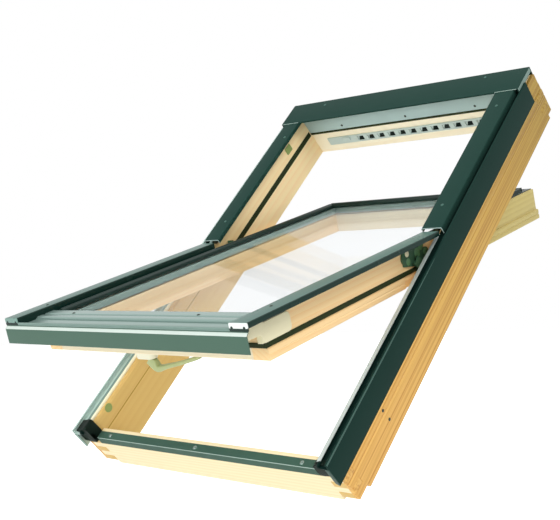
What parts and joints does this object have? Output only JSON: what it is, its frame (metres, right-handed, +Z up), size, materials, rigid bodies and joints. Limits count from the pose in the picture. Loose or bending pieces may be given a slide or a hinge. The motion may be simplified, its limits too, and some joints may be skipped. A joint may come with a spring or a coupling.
{
  "type": "centre pivot roof window",
  "caption": "Timber roof window: sloping frame with folded metal flashing, covers and hood, and a glazed sash that turns about its middle on curved hinges, with an air inlet and lever handle.",
  "frame": {"origin": "middle of the sill's lower face, the down-slope side of the timber frame", "axes": "+X across the window to the right seen from the weather side, +Y level and up the roof into the building, +Z up; the frame slopes at 45 degrees"},
  "size_m": [0.78, 1.1441, 0.9408],
  "materials": {
    "timber": "clear varnish",
    "cover_paint": "satin grey-green paint",
    "bare_metal": "satin",
    "black_seal": "matt",
    "pane_glass": "clear",
    "inlet_plastic": "matt",
    "hinge_metal": "passivated",
    "cream_plastic": "matt",
    "handle_paint": "satin"
  },
  "bodies": {
    "frame": {"left_jamb": "timber", "right_jamb": "timber", "frame_head": "timber", "frame_sill": "timber", "left_flashing": "cover_paint", "right_flashing": "cover_paint", "curb_strips": "bare_metal", "flashing_end_caps": "bare_metal", "left_upper_cover": "cover_paint", "right_upper_cover": "cover_paint", "cover_battens": "timber", "head_hood": "cover_paint", "head_strip": "bare_metal", "sill_cover": "cover_paint", "corner_seals": "black_seal", "frame_gasket": "black_seal", "air_inlet": "inlet_plastic", "catch_plates": "hinge_metal", "bolt_bushes": "hinge_metal", "left_pivot_plate": "hinge_metal", "right_pivot_plate": "hinge_metal"},
    "sash": {"left_stile": "timber", "right_stile": "timber", "top_rail": "timber", "bottom_rail": "timber", "outer_pane": "pane_glass", "inner_pane": "pane_glass", "glass_spacer": "bare_metal", "left_glazing_bead": "cover_paint", "right_glazing_bead": "cover_paint", "top_glazing_cover": "cover_paint", "bottom_profile": "bare_metal", "apron": "cover_paint", "left_sash_cover": "cover_paint", "right_sash_cover": "cover_paint", "cover_end_caps": "bare_metal", "left_pivot_arm": "hinge_metal", "right_pivot_arm": "hinge_metal", "sash_gasket": "black_seal", "corner_blocks": "cream_plastic", "handle_base": "handle_paint"},
    "handle": {"handle_lever": "handle_paint"}
  },
  "joints": [
    {"name": "sash_pivot", "type": "hinge", "parent": "frame", "child": "sash", "pos_m": [0, 0.34825, 0.49745], "axis": [-1, 0, 0], "range_deg": [-30, 120]},
    {"name": "handle_turn", "type": "hinge", "parent": "sash", "child": "handle", "pos_m": [-0.02, -0.13788, 0.24462], "axis": [0, -0.2588, 0.9659], "range_deg": [0, 90]}
  ]
}
